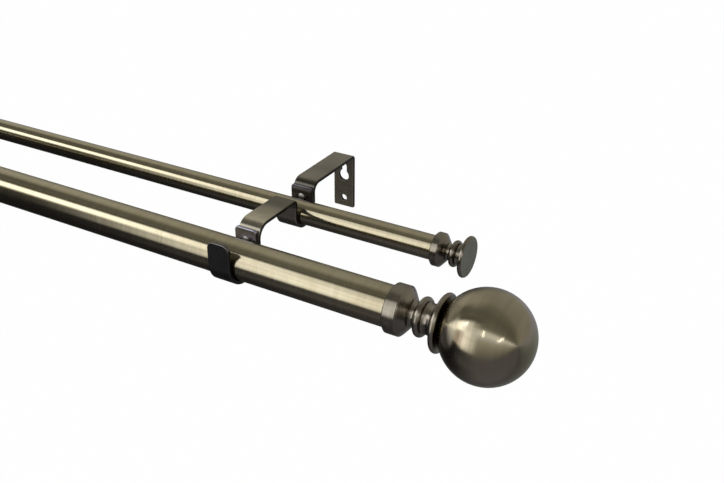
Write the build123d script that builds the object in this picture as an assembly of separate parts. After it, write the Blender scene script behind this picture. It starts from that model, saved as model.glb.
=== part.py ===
from build123d import *
from dataclasses import dataclass
from math import sqrt
import os

# Double curtain pole. A thick front pole and a thin back pole rest in two wall brackets.
# Each bracket is three strips of flat steel, bent cold, lapped and riveted one to the next.
# The front pole ends in turned stems with hollow balls, the back pole in turned stems with discs.
# Millimetres. +X runs along the poles to the right, +Y goes into the wall, +Z is up.
# The origin is on the wall, midway between the lower screw holes of the two brackets.


# Poles
front_pole_diameter = 25.0
front_pole_wall = 1.0
front_pole_length = 1000.0
back_pole_diameter = 16.0
back_pole_wall = 0.8
back_pole_inset = 10.0

# Where the poles run, from the wall and from the lower screw holes
wall_to_back_pole = 66.7
back_to_front_pole = 68.2
front_pole_height = 14.3
back_pole_rise = 3.5

# Bracket strips
bracket_from_pole_end = 118.0
strip_width = 16.5
strip_thickness = 2.5
strip_edge_radius = 0.8
wall_arm_height = 34.7
link_arm_height = 31.0
wall_plate_below_hole = 6.8
wall_bend_radius = 0.5
wall_arm_bend_radius = 5.3
link_arm_bend_radius = 8.0
link_rear_bend_radius = 1.0
hook_clearance = 0.3
hook_seat_gap = 0.1
back_hook_heel_rise = 14.4
front_hook_heel_rise = 14.6
front_hook_tip_rise = 16.7
heel_corner_radius = 3.0
tip_corner_radius = 5.0
plate_corner_radius = 1.2
drop_corner_radius = 1.8

# Wall screw hole and keyhole
screw_hole_diameter = 5.0
keyhole_diameter = 8.3
keyhole_slot_width = 5.0
keyhole_height = 17.9
keyhole_travel = 7.1

# Rivets through each lap
rivet_diameter = 4.0
rivet_hole_clearance = 0.05
rivet_head_diameter = 5.4
rivet_head_height = 1.0
rivet_flush_radius = 2.9
rivet_flush_depth = 1.0
back_rivet_rise = 6.0
front_rivet_rise = 6.2
drop_below_rivet = 5.0


@dataclass
class Turning:
    """Outline of a turned finial stem, along its axis from the ferrule's mouth."""

    ferrule_length: float
    ferrule_wall: float
    mouth_chamfer: float
    shoulder_chamfer: float
    shoulder_length: float
    shoulder_radius: float
    neck_width: float
    neck_radius: float
    neck_end_radius: float
    bead_width: float
    bead_radius: float
    bead_end_radius: float
    waist_width: float
    waist_radius: float
    waist_low_share: float
    lip_start_radius: float
    lip_thickness: float
    lip_radius: float
    lip_edge: float


front_turning = Turning(
    ferrule_length=8.8, ferrule_wall=2.3, mouth_chamfer=0.8, shoulder_chamfer=0.8,
    shoulder_length=3.8, shoulder_radius=9.2,
    neck_width=4.6, neck_radius=7.2, neck_end_radius=8.7,
    bead_width=4.6, bead_radius=11.8, bead_end_radius=9.5,
    waist_width=7.8, waist_radius=9.3, waist_low_share=0.44, lip_start_radius=15.6,
    lip_thickness=3.3, lip_radius=17.4, lip_edge=0.9,
)
back_turning = Turning(
    ferrule_length=5.2, ferrule_wall=2.75, mouth_chamfer=0.75, shoulder_chamfer=0.6,
    shoulder_length=3.2, shoulder_radius=6.3,
    neck_width=3.2, neck_radius=4.9, neck_end_radius=6.1,
    bead_width=4.0, bead_radius=8.5, bead_end_radius=6.5,
    waist_width=4.2, waist_radius=5.9, waist_low_share=0.44, lip_start_radius=11.6,
    lip_thickness=2.8, lip_radius=13.2, lip_edge=0.7,
)

# Ferrules on the pole ends
ferrule_fit = 0.1
front_ferrule_cover = 7.2
back_ferrule_cover = 3.4

# Hollow balls
ball_diameter = 53.8
ball_wall = 1.5
ball_seat_radius = 11.3
ball_mouth_radius = 8.0
ball_nut_fit = 0.1
ball_nut_flange_radius = 9.5
ball_nut_flange_thickness = 1.5
ball_nut_boss_radius = 6.0
ball_nut_boss_length = 4.5

# Studs and the plugs that hold them in the pole ends
front_stud_diameter = 6.0
front_stud_length = 46.0
back_stud_diameter = 5.0
back_stud_length = 24.0
stud_chamfer = 0.6
stud_thread_fit = 0.02
stud_hole_clearance = 0.2
stud_depth_in_front_plug = 14.0
stud_depth_in_back_plug = 11.0
back_stud_hole_spare = 1.0
front_plug_depth = 20.0
back_plug_depth = 14.0
front_plug_flange = 1.2
back_plug_flange = 0.8
plug_flange_inset = 0.2
plug_rib_fit = 0.05
plug_core_inset = 0.8
plug_rib_width = 1.6
plug_ribs = 4

# Places and radii that follow
cut_margin = 1.0
back_pole_length = front_pole_length - 2 * back_pole_inset
bracket_spacing = front_pole_length - 2 * bracket_from_pole_end
front_radius = front_pole_diameter / 2
back_radius = back_pole_diameter / 2
front_pole_y = -wall_to_back_pole - back_to_front_pole
back_pole_y = -wall_to_back_pole
front_pole_z = front_pole_height
back_pole_z = front_pole_height + back_pole_rise
hook_lift = hook_clearance - hook_seat_gap
half_strip = strip_thickness / 2
back_hook_radius = back_radius + hook_clearance + half_strip
front_hook_radius = front_radius + hook_clearance + half_strip
back_rivet_z = back_pole_z + back_rivet_rise
front_rivet_z = front_pole_z + front_rivet_rise
back_heel_y = back_pole_y + back_hook_radius
front_heel_y = front_pole_y + front_hook_radius
wall_arm_drop_y = back_heel_y + strip_thickness
link_arm_drop_y = front_heel_y + strip_thickness
wall_plate_y = -half_strip


def bent_strip(path):
    """Sweep the strip's section along the middle line of its side view."""
    section = Plane(origin=path @ 0, x_dir=(1, 0, 0), z_dir=path % 0) * Rectangle(strip_width, strip_thickness)
    return sweep(section, path=path)


def yz(y, z):
    """A point of the bracket's side view."""
    return (0, y, z)


def arm_line(start, corners, end, bends):
    """Straight runs through the corners, with a bend of its own radius at each."""
    points = [yz(*start)] + [yz(*corner) for corner in corners] + [yz(*end)]
    return FilletPolyline(*points, radius=bends)


def hook_line(centre_y, centre_z, radius, heel_z):
    """From the top of the hook's heel, down and half round below the pole."""
    heel = Line(yz(centre_y + radius, heel_z), yz(centre_y + radius, centre_z))
    low = yz(centre_y, centre_z - radius)
    round_below = ThreePointArc(heel @ 1, low, yz(centre_y - radius, centre_z))
    return heel, round_below


def end_corners(strip, y, z):
    """The two edges through the thickness at one end of a strip."""
    through = strip.edges().filter_by(Axis.Y)
    at_end = through.filter_by_position(Axis.Z, z - hook_seat_gap, z + hook_seat_gap)
    return at_end.filter_by_position(Axis.Y, y - half_strip, y + half_strip)


def soften(strip):
    """Round the long edges and the end edges, as a tumbled blank has them."""
    outer = strip.edges().filter_by(lambda edge: not edge.is_interior)
    return fillet(outer, strip_edge_radius)


def hole_through(strip, y, z, diameter):
    """A hole square through a strip that stands upright."""
    drill = Cylinder(diameter / 2, strip_thickness * 3, rotation=(90, 0, 0))
    return strip - Pos(0, y, z) * drill


def flush_hole(strip, y, z):
    """A rivet hole, opened into a cone at the back of the strip."""
    strip = hole_through(strip, y, z, rivet_diameter + 2 * rivet_hole_clearance)
    mouth = rivet_flush_radius + rivet_hole_clearance
    slope = (rivet_flush_radius - rivet_diameter / 2) / rivet_flush_depth
    reach = rivet_flush_depth + cut_margin
    cone = Cone(mouth - slope * rivet_flush_depth, mouth + slope * cut_margin, reach, rotation=(-90, 0, 0))
    middle = y + half_strip - rivet_flush_depth + reach / 2
    return strip - Pos(0, middle, z) * cone


def wall_arm():
    """Wall plate with its holes, level arm and the drop that carries the back hook."""
    top = wall_arm_height - half_strip
    drop_end = back_rivet_z - drop_below_rivet
    line = arm_line(
        (wall_plate_y, -wall_plate_below_hole),
        [(wall_plate_y, top), (wall_arm_drop_y, top)],
        (wall_arm_drop_y, drop_end),
        [wall_bend_radius + half_strip, wall_arm_bend_radius + half_strip],
    )
    strip = bent_strip(line)
    strip = fillet(end_corners(strip, wall_plate_y, -wall_plate_below_hole), plate_corner_radius)
    strip = fillet(end_corners(strip, wall_arm_drop_y, drop_end), drop_corner_radius)
    strip = soften(strip)
    strip = hole_through(strip, wall_plate_y, 0, screw_hole_diameter)
    strip = flush_hole(strip, wall_arm_drop_y, back_rivet_z)
    slot = SlotCenterToCenter(keyhole_travel, keyhole_slot_width, rotation=90)
    keyhole = Circle(keyhole_diameter / 2) + Pos(0, keyhole_travel / 2) * slot
    plate_face = Plane(origin=(0, 0, keyhole_height), x_dir=(1, 0, 0), z_dir=(0, -1, 0))
    return strip - extrude(plate_face * keyhole, strip_thickness * 2, both=True)


def link_arm():
    """Back hook, and the level arm and drop that carry the front hook."""
    hook_z = back_pole_z + hook_lift
    top = link_arm_height - half_strip
    drop_end = front_rivet_z - drop_below_rivet
    heel_top = back_pole_z + back_hook_heel_rise
    heel, round_below = hook_line(back_pole_y, hook_z, back_hook_radius, heel_top)
    riser_y = back_pole_y - back_hook_radius
    arm = arm_line(
        (riser_y, hook_z),
        [(riser_y, top), (link_arm_drop_y, top)],
        (link_arm_drop_y, drop_end),
        [link_rear_bend_radius + half_strip, link_arm_bend_radius + half_strip],
    )
    strip = bent_strip(Wire([*heel.edges(), *round_below.edges(), *arm.edges()]))
    strip = fillet(end_corners(strip, back_heel_y, heel_top), heel_corner_radius)
    strip = fillet(end_corners(strip, link_arm_drop_y, drop_end), drop_corner_radius)
    strip = soften(strip)
    strip = hole_through(strip, back_heel_y, back_rivet_z, rivet_diameter + 2 * rivet_hole_clearance)
    return flush_hole(strip, link_arm_drop_y, front_rivet_z)


def front_hook():
    """Hook of the front pole, open at the top, with a rounded tip in front."""
    hook_z = front_pole_z + hook_lift
    heel_top = front_pole_z + front_hook_heel_rise
    tip_top = front_pole_z + front_hook_tip_rise
    heel, round_below = hook_line(front_pole_y, hook_z, front_hook_radius, heel_top)
    tip_y = front_pole_y - front_hook_radius
    tip = Line(round_below @ 1, yz(tip_y, tip_top))
    strip = bent_strip(Wire([*heel.edges(), *round_below.edges(), *tip.edges()]))
    strip = fillet(end_corners(strip, front_heel_y, heel_top), heel_corner_radius)
    strip = fillet(end_corners(strip, tip_y, tip_top), tip_corner_radius)
    strip = soften(strip)
    return hole_through(strip, front_heel_y, front_rivet_z, rivet_diameter + 2 * rivet_hole_clearance)


def rivet(front_y, height):
    """A rivet through both strips of a lap, domed in front and hammered flush into the back strip."""
    head_radius = rivet_head_diameter / 2
    half_grip = strip_thickness
    top = -half_grip - rivet_head_height
    dome_radius = (head_radius ** 2 + rivet_head_height ** 2) / (2 * rivet_head_height)
    mid = head_radius / 2
    mid_height = sqrt(dome_radius ** 2 - mid ** 2) - dome_radius + rivet_head_height
    shank = rivet_diameter / 2
    outline = ThreePointArc((0, top), (mid, -half_grip - mid_height), (head_radius, -half_grip)) + Polyline(
        (head_radius, -half_grip), (shank, -half_grip), (shank, half_grip - rivet_flush_depth),
        (rivet_flush_radius, half_grip), (0, half_grip), (0, top),
    )
    turned = revolve(make_face(outline), axis=Axis.Y)
    return Pos(0, front_y + strip_thickness, height) * turned


def pole(length, diameter, wall, y, z):
    """A plain round tube."""
    tube = Cylinder(diameter / 2, length, rotation=(0, 90, 0))
    bore = Cylinder(diameter / 2 - wall, length, rotation=(0, 90, 0))
    return Pos(0, y, z) * (tube - bore)


def turned_outline(t, pole_radius):
    """The outside of a stem as one line, from the mouth's edge to the lip's outer face."""
    ferrule_radius = pole_radius + ferrule_fit + t.ferrule_wall
    neck_start = t.ferrule_length + t.shoulder_length
    bead_start = neck_start + t.neck_width
    waist_start = bead_start + t.bead_width
    lip_start = waist_start + t.waist_width
    lip_end = lip_start + t.lip_thickness
    ferrule = Polyline(
        (0, pole_radius + ferrule_fit),
        (0, ferrule_radius - t.mouth_chamfer),
        (t.mouth_chamfer, ferrule_radius),
        (t.ferrule_length - t.shoulder_chamfer, ferrule_radius),
        (t.ferrule_length, ferrule_radius - t.shoulder_chamfer),
        (neck_start, t.shoulder_radius),
    )
    neck = ThreePointArc(
        (neck_start, t.shoulder_radius),
        (neck_start + t.neck_width / 2, t.neck_radius),
        (bead_start, t.neck_end_radius),
    )
    bead = ThreePointArc(
        (bead_start, t.neck_end_radius),
        (bead_start + t.bead_width / 2, t.bead_radius),
        (waist_start, t.bead_end_radius),
    )
    waist = ThreePointArc(
        (waist_start, t.bead_end_radius),
        (waist_start + t.waist_width * t.waist_low_share, t.waist_radius),
        (lip_start, t.lip_start_radius),
    )
    lip = ThreePointArc(
        (lip_start, t.lip_start_radius),
        (lip_end - t.lip_thickness / 2, t.lip_radius),
        (lip_end, t.lip_radius - t.lip_edge),
    )
    return ferrule + neck + bead + waist + lip, lip_end


def turned_stem(t, pole_radius, floor, hole_radius, hole_end):
    """A turned piece with the pole's socket and a stud hole from the socket's floor."""
    outline, face = turned_outline(t, pole_radius)
    outer_face = Polyline((face, t.lip_radius - t.lip_edge), (face, 0), (0, 0), (0, pole_radius + ferrule_fit))
    solid = revolve(make_face(outline + outer_face), axis=Axis.X)
    socket = along_x(pole_radius + ferrule_fit, 0, floor)
    hole = along_x(hole_radius, 0, min(hole_end, face))
    return solid - socket - hole


def along_x(radius, start, end):
    """A round bar on the X axis between two stations."""
    return Pos((start + end) / 2, 0, 0) * Cylinder(radius, end - start, rotation=(0, 90, 0))


def ball(seat):
    """A hollow ball, cut flat where it sits on the stem's collar, with a mouth for its nut."""
    radius = ball_diameter / 2
    centre = seat + sqrt(radius ** 2 - ball_seat_radius ** 2)
    shell = Pos(centre, 0, 0) * (Sphere(radius) - Sphere(radius - ball_wall))
    flat = along_x(ball_diameter, seat - ball_diameter, seat)
    return shell - flat - along_x(ball_mouth_radius, seat - cut_margin, centre)


def ball_nut(seat):
    """The threaded bush that is welded inside the ball's mouth."""
    hub_end = seat + ball_wall
    flange_end = hub_end + ball_nut_flange_thickness
    hub = along_x(ball_mouth_radius - ball_nut_fit, seat, hub_end)
    flange = along_x(ball_nut_flange_radius, hub_end, flange_end)
    boss = along_x(ball_nut_boss_radius, flange_end, flange_end + ball_nut_boss_length)
    boss_end = flange_end + ball_nut_boss_length
    thread = along_x(front_stud_diameter / 2 + stud_thread_fit, seat - cut_margin, boss_end + cut_margin)
    return hub + flange + boss - thread


def end_plug(pole_end, depth, flange, pole_radius, pole_wall, stud_radius):
    """A ribbed plug, pushed into the pole until its flange meets the pole's end."""
    bore = pole_radius - pole_wall
    plug = along_x(bore - plug_core_inset, pole_end - depth, pole_end)
    plug += along_x(pole_radius - plug_flange_inset, pole_end, pole_end + flange)
    pitch = depth / plug_ribs
    for i in range(plug_ribs):
        rib_end = pole_end - i * pitch
        plug += along_x(bore - plug_rib_fit, rib_end - plug_rib_width, rib_end)
    return plug - along_x(stud_radius + stud_thread_fit, pole_end - depth - cut_margin, pole_end + flange + cut_margin)


def stud(start, length, radius):
    """A plain stud, chamfered at both ends."""
    bar = along_x(radius, start, start + length)
    return chamfer(bar.edges().filter_by(GeomType.CIRCLE), stud_chamfer)


def front_end():
    """Everything on the right-hand end of the front pole, from the ferrule's mouth outwards."""
    pole_end = front_ferrule_cover
    floor = pole_end + front_plug_flange
    stud_radius = front_stud_diameter / 2
    seat = turned_outline(front_turning, front_radius)[1]
    stud_start = pole_end - stud_depth_in_front_plug
    return {
        "front_end_plug": end_plug(
            pole_end, front_plug_depth, front_plug_flange, front_radius, front_pole_wall, stud_radius
        ),
        "front_finial_stud": stud(stud_start, front_stud_length, stud_radius),
        "front_finial_stem": turned_stem(
            front_turning, front_radius, floor, stud_radius + stud_hole_clearance, seat
        ),
        "front_finial_ball": ball(seat),
        "front_ball_nut": ball_nut(seat),
    }


def back_end():
    """Everything on the right-hand end of the back pole, from the ferrule's mouth outwards."""
    pole_end = back_ferrule_cover
    floor = pole_end + back_plug_flange
    stud_radius = back_stud_diameter / 2
    stud_start = pole_end - stud_depth_in_back_plug
    hole_end = stud_start + back_stud_length + back_stud_hole_spare
    return {
        "back_end_plug": end_plug(
            pole_end, back_plug_depth, back_plug_flange, back_radius, back_pole_wall, stud_radius
        ),
        "back_finial_stud": stud(stud_start, back_stud_length, stud_radius),
        "back_disc_finial": turned_stem(
            back_turning, back_radius, floor, stud_radius + stud_thread_fit, hole_end
        ),
    }


def bracket():
    """One bracket, with its middle plane at X = 0."""
    back_lap_front = back_heel_y - half_strip
    front_lap_front = front_heel_y - half_strip
    return {
        "wall_arm": wall_arm(),
        "link_arm": link_arm(),
        "front_hook": front_hook(),
        "back_rivet": rivet(back_lap_front, back_rivet_z),
        "front_rivet": rivet(front_lap_front, front_rivet_z),
    }


def assemble():
    """Every piece in its place, by the name of its node."""
    nodes = {
        "front_pole": pole(front_pole_length, front_pole_diameter, front_pole_wall, front_pole_y, front_pole_z),
        "back_pole": pole(back_pole_length, back_pole_diameter, back_pole_wall, back_pole_y, back_pole_z),
    }
    for name, solid in bracket().items():
        nodes["right_" + name] = Pos(bracket_spacing / 2, 0, 0) * solid
        nodes["left_" + name] = Pos(-bracket_spacing / 2, 0, 0) * solid
    front_mouth = Pos(front_pole_length / 2 - front_ferrule_cover, front_pole_y, front_pole_z)
    back_mouth = Pos(back_pole_length / 2 - back_ferrule_cover, back_pole_y, back_pole_z)
    for mouth, pieces in ((front_mouth, front_end()), (back_mouth, back_end())):
        for name, solid in pieces.items():
            right = mouth * solid
            nodes["right_" + name] = right
            nodes["left_" + name] = mirror(right, about=Plane.YZ)
    return nodes


os.makedirs("parts", exist_ok=True)
for node, solid in assemble().items():
    export_step(solid, "parts/" + node + ".step")
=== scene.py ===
import math

import bmesh
import bpy
from bpy.props import FloatProperty, FloatVectorProperty, PointerProperty
from mathutils import Matrix, Vector


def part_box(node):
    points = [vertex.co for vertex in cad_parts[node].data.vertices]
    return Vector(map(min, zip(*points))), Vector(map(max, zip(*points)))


bl_info = {
    "name": "Double curtain pole",
    "version": (1, 0, 0),
    "blender": (4, 5, 0),
    "location": "View3D > Sidebar > Curtain pole",
    "description": "Plates, brushes and lights a double curtain pole with ball and disc finials",
    "category": "Object",
}

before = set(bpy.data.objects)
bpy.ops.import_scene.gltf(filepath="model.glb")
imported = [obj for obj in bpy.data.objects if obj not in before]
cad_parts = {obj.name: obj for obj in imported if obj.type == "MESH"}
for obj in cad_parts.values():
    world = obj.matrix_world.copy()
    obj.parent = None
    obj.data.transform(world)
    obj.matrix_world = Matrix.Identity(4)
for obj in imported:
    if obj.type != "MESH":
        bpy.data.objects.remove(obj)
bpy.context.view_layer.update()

SIDES = ("left", "right")


def middle(node):
    """The middle of a node's box, in metres."""
    low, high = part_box(node)
    return (Vector(low) + Vector(high)) / 2


FRONT_AXIS = middle("front_pole")
BACK_AXIS = middle("back_pole")
STRIP_MIDDLE = middle("right_wall_arm").x
STRIP_HALF_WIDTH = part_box("right_wall_arm")[1][0] - STRIP_MIDDLE
DEPTH = -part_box("right_front_hook")[0][1]
WALL_ARM_FRONT = -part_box("right_wall_arm")[0][1]
LINK_ARM_FRONT = -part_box("right_link_arm")[0][1]

# The painted reflection on a heel, or the painted light on the wall plate, reaches this far in front
# of its back face, then fades
LAP_REACH = 0.0032
LAP_FADE = 0.0005
BACK_HEEL = -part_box("right_link_arm")[1][1] + LAP_REACH
FRONT_HEEL = -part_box("right_front_hook")[1][1] + LAP_REACH

# The link arm's upright lengths lie below this height and take a lighter colour, painted light; the
# bend above it takes the arm's tones
RISER_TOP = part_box("right_link_arm")[1][2] - 0.006
RISER_FADE = 0.002

# How far behind the front of each arm the painted shade on its bend is darkest, and where it has the
# arm's own tone
WALL_BEND_SHADE = (0.003, 0.0065)
LINK_BEND_SHADE = (0.0035, 0.0075)

# How far in front of the back heel the link arm keeps its painted light, and where its painted shade
# is full
LINK_FADE = (0.055, 0.030)

# Painted shade takes over on the strip's sides, and behind the wall plate's front face
SIDE_SHADE_FADE = (0.0005, 0.0001)
BORE_SHADE_FADE = (-0.0024, -0.0022)


class PlatingFinish(bpy.types.PropertyGroup):
    """Colours and marks of the plated steel."""

    brass: FloatVectorProperty(
        name="Brass plating",
        description="Colour of the brushed plating on the poles and finials",
        subtype="COLOR", size=3, min=0.0, max=1.0, default=(0.43, 0.39, 0.28),
    )
    tarnish: FloatVectorProperty(
        name="Tarnish",
        description="Darker tone that stays in the brushed plating",
        subtype="COLOR", size=3, min=0.0, max=1.0, default=(0.30, 0.265, 0.18),
    )
    ball: FloatVectorProperty(
        name="Ball plating",
        description="Colour of the plating on the balls",
        subtype="COLOR", size=3, min=0.0, max=1.0, default=(0.385, 0.345, 0.255),
    )
    ball_tarnish: FloatVectorProperty(
        name="Ball tarnish",
        description="Darker tone that stays in the balls",
        subtype="COLOR", size=3, min=0.0, max=1.0, default=(0.27, 0.237, 0.167),
    )
    turned: FloatVectorProperty(
        name="Turned plating",
        description="Colour of the plating on the turned stems and discs",
        subtype="COLOR", size=3, min=0.0, max=1.0, default=(0.33, 0.30, 0.245),
    )
    turned_tarnish: FloatVectorProperty(
        name="Turned tarnish",
        description="Darker tone that stays in the turned pieces",
        subtype="COLOR", size=3, min=0.0, max=1.0, default=(0.16, 0.143, 0.12),
    )
    wall_arm: FloatVectorProperty(
        name="Wall arm plating",
        description="Colour of the smoother plating on the wall arms",
        subtype="COLOR", size=3, min=0.0, max=1.0, default=(0.26, 0.243, 0.205),
    )
    # Painted light: the wall arm's upright faces, chiefly the plate on the wall, are painted this
    # lighter colour than its top
    wall_upright_light: FloatVectorProperty(
        name="Wall plate",
        description="Colour of the wall arms where they lie on the wall",
        subtype="COLOR", size=3, min=0.0, max=1.0, default=(0.52, 0.47, 0.33),
    )
    # Painted shade: the link arms' tops near the back heel take this dark colour
    link_arm: FloatVectorProperty(
        name="Link arm plating",
        description="Colour of the plating on the strips between the poles",
        subtype="COLOR", size=3, min=0.0, max=1.0, default=(0.14, 0.128, 0.102),
    )
    # Painted light: the link arms towards the front pole take this lighter colour
    link_arm_lit_front: FloatVectorProperty(
        name="Link arm front plating",
        description="Colour of the link arms nearer the front pole, where the plating is lighter",
        subtype="COLOR", size=3, min=0.0, max=1.0, default=(0.68, 0.62, 0.495),
    )
    # Painted light: the link arms' upright faces take this lighter colour
    link_riser_lit: FloatVectorProperty(
        name="Link riser plating",
        description="Colour of the link arms where they stand upright round the back pole",
        subtype="COLOR", size=3, min=0.0, max=1.0, default=(0.44, 0.40, 0.32),
    )
    # Painted shade: this near-black colour stands for the shade on the front hooks
    front_hook: FloatVectorProperty(
        name="Front hook plating",
        description="Colour of the dark plating on the front hooks",
        subtype="COLOR", size=3, min=0.0, max=1.0, default=(0.155, 0.15, 0.142),
    )
    # Painted reflection: the cold violet-grey of each heel stands for what its glossy face reflects,
    # darker on the back heel, lighter on the front one
    back_heel_reflection: FloatVectorProperty(
        name="Back heel",
        description="Colour of the link arms where they are riveted to the wall arms",
        subtype="COLOR", size=3, min=0.0, max=1.0, default=(0.15, 0.145, 0.17),
    )
    front_heel_reflection: FloatVectorProperty(
        name="Front heel",
        description="Colour of the front hooks where they are riveted to the link arms",
        subtype="COLOR", size=3, min=0.0, max=1.0, default=(0.42, 0.42, 0.51),
    )
    # Painted shade: this near-black colour stands for the shade on the strips' sides and behind the
    # wall plate's front face
    shaded: FloatVectorProperty(
        name="Shaded edge",
        description="Colour of the strips' sheared sides",
        subtype="COLOR", size=3, min=0.0, max=1.0, default=(0.024, 0.022, 0.019),
    )
    rivet: FloatVectorProperty(
        name="Rivet steel",
        description="Colour of the bare rivet heads",
        subtype="COLOR", size=3, min=0.0, max=1.0, default=(0.34, 0.335, 0.33),
    )
    zinc: FloatVectorProperty(
        name="Zinc",
        description="Colour of the zinc plated studs and nuts",
        subtype="COLOR", size=3, min=0.0, max=1.0, default=(0.66, 0.67, 0.68),
    )
    plug: FloatVectorProperty(
        name="Plug plastic",
        description="Colour of the moulded end plugs",
        subtype="COLOR", size=3, min=0.0, max=1.0, default=(0.055, 0.055, 0.058),
    )
    hairline: FloatProperty(
        name="Hairline pitch",
        description="Distance from one brushed line to the next",
        subtype="DISTANCE", unit="LENGTH", min=0.0001, max=0.002, default=0.00035,
    )
    hairline_depth: FloatProperty(
        name="Hairline depth",
        description="Depth of the brushed lines",
        subtype="DISTANCE", unit="LENGTH", min=0.0, max=0.0005, default=0.000016,
    )


class StudioLight(bpy.types.PropertyGroup):
    """Sizes and strengths of the studio round the poles."""

    floor_drop: FloatProperty(
        name="Floor drop",
        description="How far the floor lies below the screw holes",
        subtype="DISTANCE", unit="LENGTH", min=0.2, max=4.0, default=2.6,
    )
    softbox_distance: FloatProperty(
        name="Softbox distance",
        description="From the front pole to the softbox",
        subtype="DISTANCE", unit="LENGTH", min=0.5, max=4.0, default=1.9,
    )
    softbox_height: FloatProperty(
        name="Softbox height",
        description="Height of the softbox",
        subtype="DISTANCE", unit="LENGTH", min=0.2, max=4.0, default=1.25,
    )
    softbox_length: FloatProperty(
        name="Softbox length",
        description="Length of the softbox along the poles",
        subtype="DISTANCE", unit="LENGTH", min=0.5, max=12.0, default=6.4,
    )
    softbox_tilt: FloatProperty(
        name="Softbox rise",
        description="Angle of the softbox above the level of the poles",
        subtype="ANGLE", min=-1.5, max=1.5, default=math.radians(44),
    )
    softbox_power: FloatProperty(
        name="Softbox power",
        description="Power of the softbox",
        subtype="POWER", unit="POWER", min=0.0, max=2000.0, default=8.0,
    )
    tent_radius: FloatProperty(
        name="Tent radius",
        description="Radius of the cloth tent that the metal reflects",
        subtype="DISTANCE", unit="LENGTH", min=1.0, max=6.0, default=2.3,
    )


class Wire:
    """The output of a shader node, to be used in sums."""

    def __init__(self, tree, socket):
        self.tree = tree
        self.socket = socket

    def worked(self, operation, first, second=0.0):
        node = self.tree.nodes.new("ShaderNodeMath")
        node.operation = operation
        plug_in(self.tree, node.inputs[0], first)
        plug_in(self.tree, node.inputs[1], second)
        return Wire(self.tree, node.outputs[0])

    def __add__(self, other):
        return self.worked("ADD", self, other)

    def __radd__(self, other):
        return self.worked("ADD", other, self)

    def __sub__(self, other):
        return self.worked("SUBTRACT", self, other)

    def __rsub__(self, other):
        return self.worked("SUBTRACT", other, self)

    def __mul__(self, other):
        return self.worked("MULTIPLY", self, other)

    def __rmul__(self, other):
        return self.worked("MULTIPLY", other, self)

    def __truediv__(self, other):
        return self.worked("DIVIDE", self, other)

    def __rtruediv__(self, other):
        return self.worked("DIVIDE", other, self)

    def __pow__(self, other):
        return self.worked("POWER", self, other)

    def __rpow__(self, other):
        return self.worked("POWER", other, self)


def plug_in(tree, socket, value):
    """Link a wire to a socket, or write a plain value on it."""
    if isinstance(value, Wire):
        tree.links.new(value.socket, socket)
    else:
        socket.default_value = value


class Finish:
    """One material, built node by node."""

    def __init__(self, name):
        self.material = bpy.data.materials.new(name)
        self.material.use_nodes = True
        self.tree = self.material.node_tree
        self.tree.nodes.clear()
        self.coordinates = self.add("ShaderNodeTexCoord", out="Object")

    def add(self, kind, settings=None, out=0, stops=None, **values):
        """A node of a kind, with its settings, its ramp's stops and its sockets' values or links."""
        node = self.tree.nodes.new(kind)
        for name, setting in (settings or {}).items():
            setattr(node, name, setting)
        if stops:
            ramp = node.color_ramp
            while len(ramp.elements) < len(stops):
                ramp.elements.new(0.5)
            for element, (place, colour) in zip(ramp.elements, stops):
                element.position = place
                element.color = colour
        for name, value in values.items():
            key = int(name[1:]) if name[1:].isdigit() else name.replace("_", " ")
            plug_in(self.tree, node.inputs[key], value)
        return Wire(self.tree, node.outputs[out])

    def parts(self, vector):
        """The three parts of a vector."""
        node = self.tree.nodes.new("ShaderNodeSeparateXYZ")
        self.tree.links.new(vector.socket, node.inputs[0])
        return [Wire(self.tree, output) for output in node.outputs]

    def vector(self, x, y, z):
        return self.add("ShaderNodeCombineXYZ", X=x, Y=y, Z=z)

    def noise(self, vector, scale, detail=2.0, roughness=0.5, fourth=None):
        """Cloudy noise, in three dimensions or in four."""
        values = {"Vector": vector, "Scale": scale, "Detail": detail, "Roughness": roughness}
        dimensions = "3D"
        if fourth is not None:
            dimensions = "4D"
            values["W"] = fourth
        return self.add("ShaderNodeTexNoise", {"noise_dimensions": dimensions}, "Fac", **values)

    def ramp(self, value, low, high):
        """A number from 0 to 1 as the value goes from low to high."""
        return self.add("ShaderNodeMapRange", {"clamp": True}, **{
            "Value": value, "From_Min": low, "From_Max": high,
        })

    def mixed(self, amount, first, second):
        """A colour between two colours."""
        return self.add("ShaderNodeMix", {"data_type": "RGBA"}, 2, i0=amount, i6=first, i7=second)

    def bump(self, height, depth, before=None):
        """A bump of a height from 0 to 1, so many metres deep."""
        values = {"Height": height, "Distance": depth, "Strength": 1.0}
        if before is not None:
            values["Normal"] = before
        return self.add("ShaderNodeBump", None, "Normal", **values)

    def surface(self, **values):
        """The shader itself. Returns the material."""
        shader = self.add("ShaderNodeBsdfPrincipled", None, "BSDF", **values)
        self.show(shader)
        return self.material

    def show(self, shader):
        output = self.tree.nodes.new("ShaderNodeOutputMaterial")
        self.tree.links.new(shader.socket, output.inputs["Surface"])


def solid_colour(colour, lift=1.0):
    """A colour for a socket, with its alpha."""
    return (colour[0] * lift, colour[1] * lift, colour[2] * lift, 1.0)


def dress(node, material):
    """Give a node of the solid model its finish."""
    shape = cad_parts[node].data
    shape.materials.clear()
    shape.materials.append(material)


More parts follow.
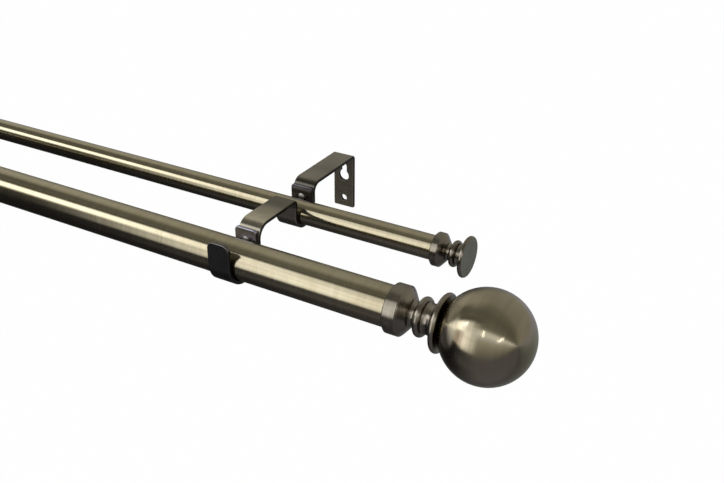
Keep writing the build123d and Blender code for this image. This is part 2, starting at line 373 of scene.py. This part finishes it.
def round_brushed(name, axis, plating, tarnish, roughness, groove=1.0):
    """Plating brushed while the piece turns: fine lines that run round the axis along X."""
    look = bpy.context.scene.pole_plating
    finish = Finish(name)
    x, y, z = finish.parts(finish.coordinates)
    across = y - axis.y
    upward = z - axis.z
    radius = (across * across + upward * upward + 1e-9) ** 0.5
    cosine = across / radius
    sine = upward / radius
    lines = 0.5 / look.hairline
    hairline = finish.noise(
        finish.vector(x * lines, radius * lines, cosine * 1.3),
        scale=1.0, detail=2.0, roughness=0.6, fourth=sine * 1.3,
    )
    streak = finish.noise(
        finish.vector(x * (lines / 5), radius * (lines / 5), cosine * 0.7),
        scale=1.0, detail=3.0, roughness=0.55, fourth=sine * 0.7,
    )
    cloud = finish.noise(finish.coordinates, scale=22.0, detail=3.0, roughness=0.5)
    worn = finish.ramp(streak * 0.6 + cloud * 0.4, 0.36, 0.66)
    colour = finish.mixed(worn, solid_colour(tarnish, 1.25), solid_colour(plating, 1.04))
    depth = look.hairline_depth * groove
    lined = finish.bump(hairline, depth)
    turned = finish.bump(streak, depth * 2.0, lined)
    return finish.surface(
        Base_Color=colour,
        Metallic=1.0,
        Roughness=roughness - 0.05 + hairline * 0.05 + cloud * 0.06,
        Normal=turned,
    )


def strip_plated(name, tones, riser):
    """Plating on rolled strip: smooth, a little cloudy, with painted shade on its sides.

    The tones are colours at distances from the wall, from the front end back to the heel; they paint
    light and shade along the strip. Between the ends, where the strip stands upright, it has the
    riser's colour, painted for those faces.
    """
    look = bpy.context.scene.pole_plating
    finish = Finish(name)
    x, y, z = finish.parts(finish.coordinates)
    rolled = finish.noise(
        finish.vector(x * 2600.0, y * 90.0, z * 90.0), scale=1.0, detail=2.0, roughness=0.5
    )
    cloud = finish.noise(finish.coordinates, scale=55.0, detail=4.0, roughness=0.55)
    orange_peel = finish.noise(finish.coordinates, scale=700.0, detail=1.0, roughness=0.4)
    stops = [(1.0 - reach / DEPTH, solid_colour(colour, lift)) for reach, colour, lift in tones]
    face = finish.add("ShaderNodeValToRGB", None, "Color", stops, Fac=finish.ramp(y, -DEPTH, 0.0))
    upright = finish.ramp(z, RISER_TOP, RISER_TOP - RISER_FADE)
    face = finish.mixed(upright, face, solid_colour(riser))
    (fade_start, *_), (fade_end, heel_colour, heel_lift) = tones[-2:]
    heel = finish.ramp(y, -fade_start, -fade_end)
    face = finish.mixed(heel, face, solid_colour(heel_colour, heel_lift))
    stain = finish.ramp(cloud, 0.32, 0.70) * 0.34 + 0.78
    stained = finish.add(
        "ShaderNodeMix", {"data_type": "RGBA", "blend_type": "MULTIPLY"}, 2,
        i0=1.0, i6=face, i7=finish.vector(stain, stain, stain),
    )
    from_end = x.worked("ABSOLUTE", x)
    from_middle = x.worked("ABSOLUTE", from_end - STRIP_MIDDLE)
    # Painted shade: near-black on the strip's sides and behind the wall plate's front face, in its
    # holes and on its back
    outer, inner = SIDE_SHADE_FADE
    shaded = finish.ramp(from_middle, STRIP_HALF_WIDTH - outer, STRIP_HALF_WIDTH - inner)
    bore_shade = finish.ramp(y, *BORE_SHADE_FADE)
    side_and_bore_shade = shaded.worked("MAXIMUM", shaded, bore_shade)
    peel = finish.bump(orange_peel, 0.000006)
    lined = finish.bump(rolled, 0.000004, peel)
    return finish.surface(
        Base_Color=finish.mixed(side_and_bore_shade, stained, solid_colour(look.shaded)),
        Metallic=1.0,
        Roughness=0.14 + cloud * 0.1 + rolled * 0.03,
        Normal=lined,
    )


def bare_steel(name, colour, roughness):
    """Bright steel with small dings and an uneven film."""
    finish = Finish(name)
    film = finish.noise(finish.coordinates, scale=420.0, detail=3.0, roughness=0.6)
    dings = finish.noise(finish.coordinates, scale=1500.0, detail=1.0, roughness=0.5)
    tone = finish.ramp(film, 0.35, 0.65)
    return finish.surface(
        Base_Color=finish.mixed(tone, solid_colour(colour, 0.8), solid_colour(colour, 1.05)),
        Metallic=1.0,
        Roughness=roughness + film * 0.12,
        Normal=finish.bump(dings, 0.00003),
    )


def moulded_plastic(name, colour):
    """Dark moulded plastic with a fine spark-eroded grain."""
    finish = Finish(name)
    grain = finish.noise(finish.coordinates, scale=2500.0, detail=2.0, roughness=0.6)
    cloud = finish.noise(finish.coordinates, scale=120.0, detail=2.0, roughness=0.5)
    return finish.surface(
        Base_Color=finish.mixed(cloud, solid_colour(colour, 0.85), solid_colour(colour, 1.3)),
        Metallic=0.0,
        Roughness=0.5 + grain * 0.12,
        Normal=finish.bump(grain, 0.00002),
    )


class DressPoles(bpy.types.Operator):
    """Brush and plate the two tubes."""

    bl_idname = "curtain_pole.dress_poles"
    bl_label = "Dress the poles"

    def execute(self, context):
        look = context.scene.pole_plating
        for pole, axis in (("front_pole", FRONT_AXIS), ("back_pole", BACK_AXIS)):
            brushed = round_brushed(
                pole + "_plating", axis, look.brass, look.tarnish, roughness=0.145
            )
            dress(pole, brushed)
        return {"FINISHED"}


class DressFinials(bpy.types.Operator):
    """Plate the turned stems, the balls and the discs."""

    bl_idname = "curtain_pole.dress_finials"
    bl_label = "Dress the finials"

    def execute(self, context):
        look = context.scene.pole_plating
        turned = round_brushed(
            "front_stem_plating", FRONT_AXIS, look.turned, look.turned_tarnish,
            roughness=0.19, groove=3.4,
        )
        polished = round_brushed(
            "ball_plating", FRONT_AXIS, look.ball, look.ball_tarnish, roughness=0.14, groove=2.0
        )
        small = round_brushed(
            "back_disc_plating", BACK_AXIS, look.turned, look.turned_tarnish,
            roughness=0.17, groove=1.6,
        )
        for side in SIDES:
            dress(side + "_front_finial_stem", turned)
            dress(side + "_front_finial_ball", polished)
            dress(side + "_back_disc_finial", small)
        return {"FINISHED"}


class DressBrackets(bpy.types.Operator):
    """Plate the bent strips and leave the rivet heads bright."""

    bl_idname = "curtain_pole.dress_brackets"
    bl_label = "Dress the brackets"

    def execute(self, context):
        look = context.scene.pole_plating
        wall_arm = (
            # Painted shade: the wall arm's front bend at 0.4 of its tone
            (WALL_ARM_FRONT - WALL_BEND_SHADE[0], look.wall_arm, 0.4),
            (WALL_ARM_FRONT - WALL_BEND_SHADE[1], look.wall_arm, 1.0),
            (LAP_REACH, look.wall_arm, 1.0),
            # Painted light: the plate on the wall is lighter than the arm's top
            (LAP_REACH - LAP_FADE, look.wall_upright_light, 1.0),
        )
        link_arm = (
            # Painted shade: the link arm's front bend at half its tone
            (LINK_ARM_FRONT - LINK_BEND_SHADE[0], look.link_arm_lit_front, 0.5),
            (LINK_ARM_FRONT - LINK_BEND_SHADE[1], look.link_arm_lit_front, 1.0),
            # Painted light towards the front pole, fading to painted shade near the back heel
            (BACK_HEEL + LINK_FADE[0], look.link_arm_lit_front, 1.0),
            (BACK_HEEL + LINK_FADE[1], look.link_arm, 1.0),
            (BACK_HEEL, look.link_arm, 1.0),
            # Painted reflection on the back heel
            (BACK_HEEL - LAP_FADE, look.back_heel_reflection, 1.0),
        )
        front_hook = (
            # Painted shade on the front hooks
            (FRONT_HEEL, look.front_hook, 1.0),
            # Painted reflection on the front heel
            (FRONT_HEEL - LAP_FADE, look.front_heel_reflection, 1.0),
        )
        strips = {
            "wall_arm": strip_plated("wall_arm_plating", wall_arm, look.wall_upright_light),
            "link_arm": strip_plated("link_arm_plating", link_arm, look.link_riser_lit),
            "front_hook": strip_plated("front_hook_plating", front_hook, look.front_hook),
        }
        bright = bare_steel("rivet_steel", look.rivet, 0.3)
        for side in SIDES:
            for strip, plated in strips.items():
                dress(side + "_" + strip, plated)
            for rivet in ("back_rivet", "front_rivet"):
                dress(side + "_" + rivet, bright)
        return {"FINISHED"}


class DressFittings(bpy.types.Operator):
    """Finish the plugs, studs and nuts inside the pole ends."""

    bl_idname = "curtain_pole.dress_fittings"
    bl_label = "Dress the hidden fittings"

    def execute(self, context):
        look = context.scene.pole_plating
        zinc = bare_steel("zinc_steel", look.zinc, 0.32)
        plastic = moulded_plastic("plug_plastic", look.plug)
        for side in SIDES:
            for fitting in ("front_finial_stud", "back_finial_stud", "front_ball_nut"):
                dress(side + "_" + fitting, zinc)
            for plug in ("front_end_plug", "back_end_plug"):
                dress(side + "_" + plug, plastic)
        return {"FINISHED"}


# The tent's cloth, seen along the poles: angles round them in degrees and the brightness there
TENT_FAR_LEFT = (
    (-180, 0.25), (-150, 0.2), (-110, 0.12), (-75, 0.08), (-54, 0.08), (-42, 0.22),
    (-18, 0.58), (6, 0.95), (20, 1.15), (34, 1.85), (46, 1.7), (58, 1.3),
    (66, 0.7), (80, 0.28), (96, 0.26), (108, 0.38), (130, 0.44), (152, 0.42),
    (180, 0.25),
)
TENT_LEFT = (
    (-180, 0.25), (-150, 0.1), (-130, 0.03), (-90, 0.015), (-45, 0.02), (18, 0.03),
    (27, 0.12), (32, 1.4), (36, 2.9), (55, 2.9), (58, 1.7), (62, 0.06),
    (66, 0.1), (76, 0.2), (104, 0.18), (114, 0.45), (130, 0.6), (152, 0.58),
    (180, 0.25),
)
TENT_MIDDLE = (
    (-180, 0.1), (-150, 0.12), (-110, 0.03), (-80, 0.03), (-61, 0.05), (-45, 0.12),
    (-14, 0.06), (-8, 1.6), (2, 2.3), (16, 2.4), (19, 1.7), (22, 2.3),
    (28, 1.9), (38, 1.3), (41, 0.9), (44, 1.3), (56, 1.2), (61, 0.05),
    (77, 0.24), (89, 0.2), (104, 0.42), (117, 0.55), (152, 0.44), (165, 0.3),
    (180, 0.1),
)
TENT_RIGHT = (
    (-180, 0.42), (-165, 0.38), (-150, 0.26), (-135, 0.2), (-102, 0.13), (-83, 0.18),
    (-24, 0.17), (-8, 0.29), (6, 0.42), (20, 0.6), (30, 0.85), (36, 1.3),
    (44, 1.2), (49, 0.42), (54, 0.28), (66, 0.24), (80, 0.2), (103, 0.27),
    (118, 0.38), (154, 0.44), (180, 0.42),
)
TENT_WARM = (1.0, 0.965, 0.84)
TENT_BRIGHT = (1.0, 1.0, 1.0)
TENT_COOL = (1.0, 0.98, 1.1)
TENT_REAR = (1.0, 1.075, 1.03)

# Where along the poles one cloth fades into the next
FAR_TO_LEFT = (-3.5, -2.8)
LEFT_TO_MIDDLE = (-1.9, -0.8)
MIDDLE_TO_RIGHT = (-0.9, 0.6)

TENT_LENGTH = 14.0
TENT_CLEARANCE = 0.1
FLOOR_SIZE = 40.0
FLOOR_WHITE_SHARE = 0.985
SOFTBOX_ASIDE = -3.3
ROOM_GREY = 0.55

# Each card's two ends as an x and an angle on the tent, its width, its brightness and its colour
BALL_CARDS = (
    ((-3.1, 9), (-1.45, 9), 1.55, 0.75, (1.0, 0.85, 0.76)),
    ((-1.5, 8), (-0.7, 8), 1.1, 0.2, (1.0, 0.72, 0.66)),
    ((2.5, 31), (3.3, 50), 0.06, 10.0, (1.0, 1.0, 1.0)),
    ((0.8, 33), (0.75, 46), 0.045, 10.0, (1.0, 1.0, 1.0)),
    ((-1.5, 46), (-0.95, 57), 0.05, 10.0, (1.0, 1.0, 1.0)),
)

# The camera as fitted to the photograph, its angles in degrees
CAMERA_PLACE = (0.69209, -0.5221, 0.29515)
CAMERA_YAW = 30.92
CAMERA_DROP = 28.19
CAMERA_ROLL = -0.18
CAMERA_LENS = 45.58
CAMERA_SHIFT = (0.0269, -0.0126)


def seen_directly(tree):
    """One for a ray from the camera, or one that comes off gloss or through glass."""
    path = tree.nodes.new("ShaderNodeLightPath")
    camera = Wire(tree, path.outputs["Is Camera Ray"])
    gloss = Wire(tree, path.outputs["Is Glossy Ray"])
    glass = Wire(tree, path.outputs["Is Transmission Ray"])
    either = camera.worked("MAXIMUM", camera, gloss)
    return either.worked("MAXIMUM", either, glass)


class SetStage(bpy.types.Operator):
    """Floor, white background, softbox, tent and camera."""

    bl_idname = "curtain_pole.set_stage"
    bl_label = "Set the stage"

    def execute(self, context):
        studio = context.scene.pole_studio
        self.lay_floor(studio)
        self.hang_tent(studio)
        self.place_softbox(studio)
        self.place_ball_cards(studio)
        self.light_world(context.scene)
        self.place_camera(context.scene)
        context.scene.view_settings.view_transform = "Standard"
        return {"FINISHED"}

    def lay_floor(self, studio):
        shape = bpy.data.meshes.new("floor")
        mesh = bmesh.new()
        bmesh.ops.create_grid(mesh, x_segments=1, y_segments=1, size=FLOOR_SIZE)
        bmesh.ops.translate(mesh, vec=(0.0, 0.0, -studio.floor_drop), verts=mesh.verts)
        mesh.to_mesh(shape)
        mesh.free()
        floor = bpy.data.objects.new("floor", shape)
        bpy.context.collection.objects.link(floor)
        finish = Finish("floor_paper")
        lit = finish.add("ShaderNodeBsdfDiffuse", None, "BSDF", Color=(0.92, 0.92, 0.92, 1.0))
        white = finish.add(
            "ShaderNodeEmission", None, "Emission", Color=(1.0, 1.0, 1.0, 1.0), Strength=1.0
        )
        share = seen_directly(finish.tree) * FLOOR_WHITE_SHARE
        finish.show(finish.add("ShaderNodeMixShader", None, "Shader", i0=share, i1=lit, i2=white))
        finish.material.cycles.emission_sampling = "NONE"
        shape.materials.append(finish.material)

    def hang_tent(self, studio):
        shape = bpy.data.meshes.new("tent")
        mesh = bmesh.new()
        bmesh.ops.create_cone(
            mesh, cap_ends=True, segments=96,
            radius1=studio.tent_radius, radius2=studio.tent_radius, depth=TENT_LENGTH,
        )
        turn = Matrix.Rotation(math.radians(90), 4, "Y")
        bmesh.ops.transform(mesh, matrix=Matrix.Translation(FRONT_AXIS) @ turn, verts=mesh.verts)
        mesh.to_mesh(shape)
        mesh.free()
        tent = bpy.data.objects.new("tent", shape)
        bpy.context.collection.objects.link(tent)
        tent.visible_camera = False
        tent.visible_diffuse = False
        tent.visible_transmission = False
        tent.visible_shadow = False
        finish = Finish("tent_cloth")
        x, y, z = finish.parts(finish.coordinates)
        angle = x.worked("ARCTAN2", z - FRONT_AXIS.z, FRONT_AXIS.y - y)
        place = angle / (2 * math.pi) + 0.5
        tone = self.tone(finish, place, TENT_FAR_LEFT)
        cloths = (
            (FAR_TO_LEFT, TENT_LEFT),
            (LEFT_TO_MIDDLE, TENT_MIDDLE),
            (MIDDLE_TO_RIGHT, TENT_RIGHT),
        )
        for reach, tones in cloths:
            tone = finish.mixed(finish.ramp(x, *reach), tone, self.tone(finish, place, tones))
        finish.show(finish.add("ShaderNodeEmission", None, "Emission", Color=tone, Strength=1.0))
        finish.material.cycles.emission_sampling = "NONE"
        shape.materials.append(finish.material)

    def tone(self, finish, place, tones):
        """The brightness of the cloth round its whole turn."""
        stops = []
        for degrees, tone in tones:
            tint = TENT_WARM
            if -160 < degrees < -120:
                tint = TENT_REAR
            elif degrees < -12:
                tint = TENT_COOL
            elif tone > 0.6:
                tint = TENT_BRIGHT
            stops.append(((degrees + 180) / 360, solid_colour(tint, tone)))
        return finish.add("ShaderNodeValToRGB", None, "Color", stops, Fac=place)

    def place_softbox(self, studio):
        lamp = bpy.data.lights.new("softbox", "AREA")
        lamp.shape = "RECTANGLE"
        lamp.size = studio.softbox_length
        lamp.size_y = studio.softbox_height
        lamp.energy = studio.softbox_power
        softbox = bpy.data.objects.new("softbox", lamp)
        bpy.context.collection.objects.link(softbox)
        rise = studio.softbox_tilt
        away = Vector((0.0, -math.cos(rise), math.sin(rise))) * studio.softbox_distance
        softbox.location = FRONT_AXIS + away + Vector((SOFTBOX_ASIDE, 0.0, 0.0))
        softbox.rotation_euler = (math.radians(90) - rise, 0.0, 0.0)
        softbox.visible_camera = False

    def place_ball_cards(self, studio):
        """Cards and glint lamps for the balls alone, each from one end to the other."""
        lit = bpy.data.collections.new("lit_by_cards")
        for side in SIDES:
            lit.objects.link(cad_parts[side + "_front_finial_ball"])
        target = middle("right_front_finial_ball")
        for number, (start, end, width, brightness, colour) in enumerate(BALL_CARDS):
            first, second = (self.on_tent(studio, *corner) for corner in (start, end))
            along = (second - first).normalized()
            centre = (first + second) / 2
            back = (centre - target).normalized()
            across = back.cross(along).normalized()
            lamp = bpy.data.lights.new("ball_card_%d" % number, "AREA")
            lamp.shape = "RECTANGLE"
            lamp.size = (second - first).length
            lamp.size_y = width
            lamp.energy = math.pi * lamp.size * width * brightness
            lamp.color = colour
            card = bpy.data.objects.new(lamp.name, lamp)
            bpy.context.collection.objects.link(card)
            turn = Matrix((along, across, along.cross(across))).transposed().to_4x4()
            card.matrix_world = Matrix.Translation(centre) @ turn
            card.visible_camera = False
            card.light_linking.receiver_collection = lit

    def on_tent(self, studio, x, degrees):
        """A place just inside the tent, by its x and its angle above the level of the poles."""
        rise = math.radians(degrees)
        reach = studio.tent_radius - TENT_CLEARANCE
        return FRONT_AXIS + Vector((x, -math.cos(rise) * reach, math.sin(rise) * reach))

    def light_world(self, scene):
        world = bpy.data.worlds.new("white_room")
        world.use_nodes = True
        tree = world.node_tree
        tree.nodes.clear()
        mix = tree.nodes.new("ShaderNodeMix")
        mix.data_type = "RGBA"
        plug_in(tree, mix.inputs[0], seen_directly(tree))
        plug_in(tree, mix.inputs[6], (ROOM_GREY, ROOM_GREY, ROOM_GREY, 1.0))
        plug_in(tree, mix.inputs[7], (1.0, 1.0, 1.0, 1.0))
        background = tree.nodes.new("ShaderNodeBackground")
        tree.links.new(mix.outputs[2], background.inputs["Color"])
        output = tree.nodes.new("ShaderNodeOutputWorld")
        tree.links.new(background.outputs[0], output.inputs["Surface"])
        world.cycles.sampling_method = "NONE"
        scene.world = world

    def place_camera(self, scene):
        data = bpy.data.cameras.new("camera")
        data.sensor_width = 36.0
        data.lens = CAMERA_LENS
        data.shift_x, data.shift_y = CAMERA_SHIFT
        data.clip_start = 0.05
        data.clip_end = 100.0
        camera = bpy.data.objects.new("camera", data)
        bpy.context.collection.objects.link(camera)
        place = Matrix.Translation(CAMERA_PLACE)
        yaw = Matrix.Rotation(math.radians(CAMERA_YAW), 4, "Z")
        pitch = Matrix.Rotation(math.radians(90 - CAMERA_DROP), 4, "X")
        roll = Matrix.Rotation(math.radians(CAMERA_ROLL), 4, "Z")
        camera.matrix_world = place @ yaw @ pitch @ roll
        scene.camera = camera


STEPS = (SetStage, DressPoles, DressFinials, DressBrackets, DressFittings)


class CurtainPolePanel(bpy.types.Panel):
    """The curtain pole's finishes, studio and steps."""

    bl_idname = "VIEW3D_PT_curtain_pole"
    bl_label = "Double curtain pole"
    bl_space_type = "VIEW_3D"
    bl_region_type = "UI"
    bl_category = "Curtain pole"

    def draw(self, context):
        for settings in (context.scene.pole_plating, context.scene.pole_studio):
            box = self.layout.box()
            for name in settings.__annotations__:
                box.prop(settings, name)
        for step in STEPS:
            self.layout.operator(step.bl_idname)


CLASSES = (PlatingFinish, StudioLight, *STEPS, CurtainPolePanel)


def register():
    for item in CLASSES:
        bpy.utils.register_class(item)
    bpy.types.Scene.pole_plating = PointerProperty(type=PlatingFinish)
    bpy.types.Scene.pole_studio = PointerProperty(type=StudioLight)


def unregister():
    del bpy.types.Scene.pole_studio
    del bpy.types.Scene.pole_plating
    for item in reversed(CLASSES):
        bpy.utils.unregister_class(item)


def main():
    register()
    bpy.ops.curtain_pole.set_stage()
    bpy.ops.curtain_pole.dress_poles()
    bpy.ops.curtain_pole.dress_finials()
    bpy.ops.curtain_pole.dress_brackets()
    bpy.ops.curtain_pole.dress_fittings()


if __name__ == "__main__":
    main()
